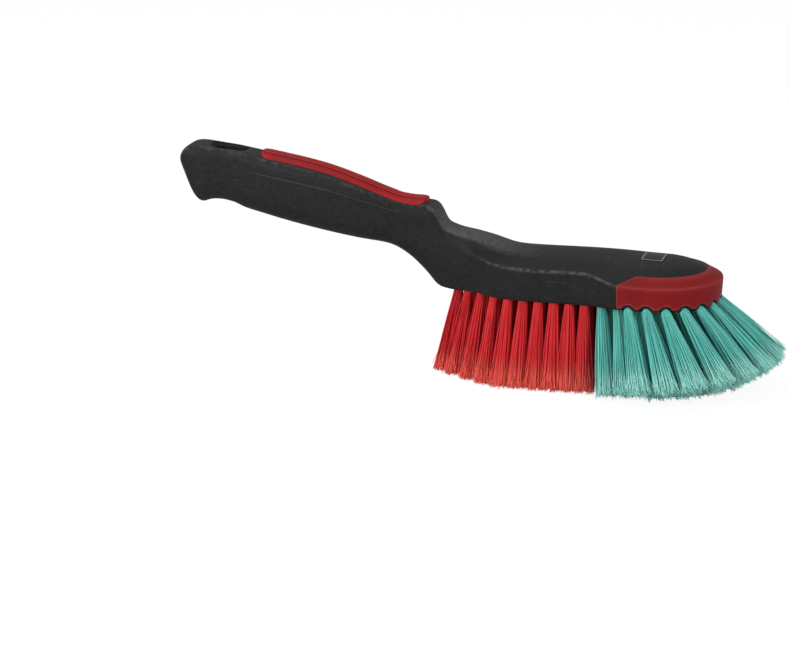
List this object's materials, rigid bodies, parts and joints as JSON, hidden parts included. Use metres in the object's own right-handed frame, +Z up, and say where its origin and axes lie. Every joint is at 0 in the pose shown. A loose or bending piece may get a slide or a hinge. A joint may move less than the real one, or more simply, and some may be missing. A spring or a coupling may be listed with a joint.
{
  "type": "hand brush",
  "caption": "Hand brush with a one-piece curved handle and head, a soft ribbed grip, a soft bumper round the nose, and red and teal tufts that fan out at the nose",
  "frame": {"origin": "bottom centre of the bounding box: under the middle of the brush on the plane of the trimmed bristle tips it stands on", "axes": "+X from the handle's end to the nose, +Y to the brush's left when held with the nose ahead, +Z up from the bristle tips to the handle"},
  "size_m": [0.3184, 0.1082, 0.1148],
  "materials": {
    "body_plastic": "moulded dark grey-black polypropylene, fine matt grain with faint flow marks and soft highlights on the edges",
    "soft_red": "deep red soft-touch elastomer, satin, ribbed on the grip and smooth on the bumper",
    "bristle_red": "red drawn polyester filament, satin along its length, paler where the tips are split",
    "bristle_teal": "teal drawn polyester filament, satin along its length, paler where the tips are split"
  },
  "bodies": {
    "root": {"brush_body": "body_plastic", "soft_grip": "soft_red", "front_bumper": "soft_red", "red_row_01": "bristle_red", "red_row_02": "bristle_red", "red_row_03": "bristle_red", "red_row_04": "bristle_red", "red_row_05": "bristle_red", "red_row_06": "bristle_red", "red_row_07": "bristle_red", "red_row_08": "bristle_red", "red_row_09": "bristle_red", "red_row_10": "bristle_red", "red_row_11": "bristle_red", "red_column_left": "bristle_red", "red_column_centre": "bristle_red", "red_column_right": "bristle_red", "teal_inner_ring_left": "bristle_teal", "teal_inner_ring_front": "bristle_teal", "teal_inner_ring_right": "bristle_teal", "teal_middle_ring_left": "bristle_teal", "teal_middle_ring_front": "bristle_teal", "teal_middle_ring_right": "bristle_teal", "teal_outer_ring_left": "bristle_teal", "teal_outer_ring_front": "bristle_teal", "teal_outer_ring_right": "bristle_teal"}
  },
  "joints": []
}
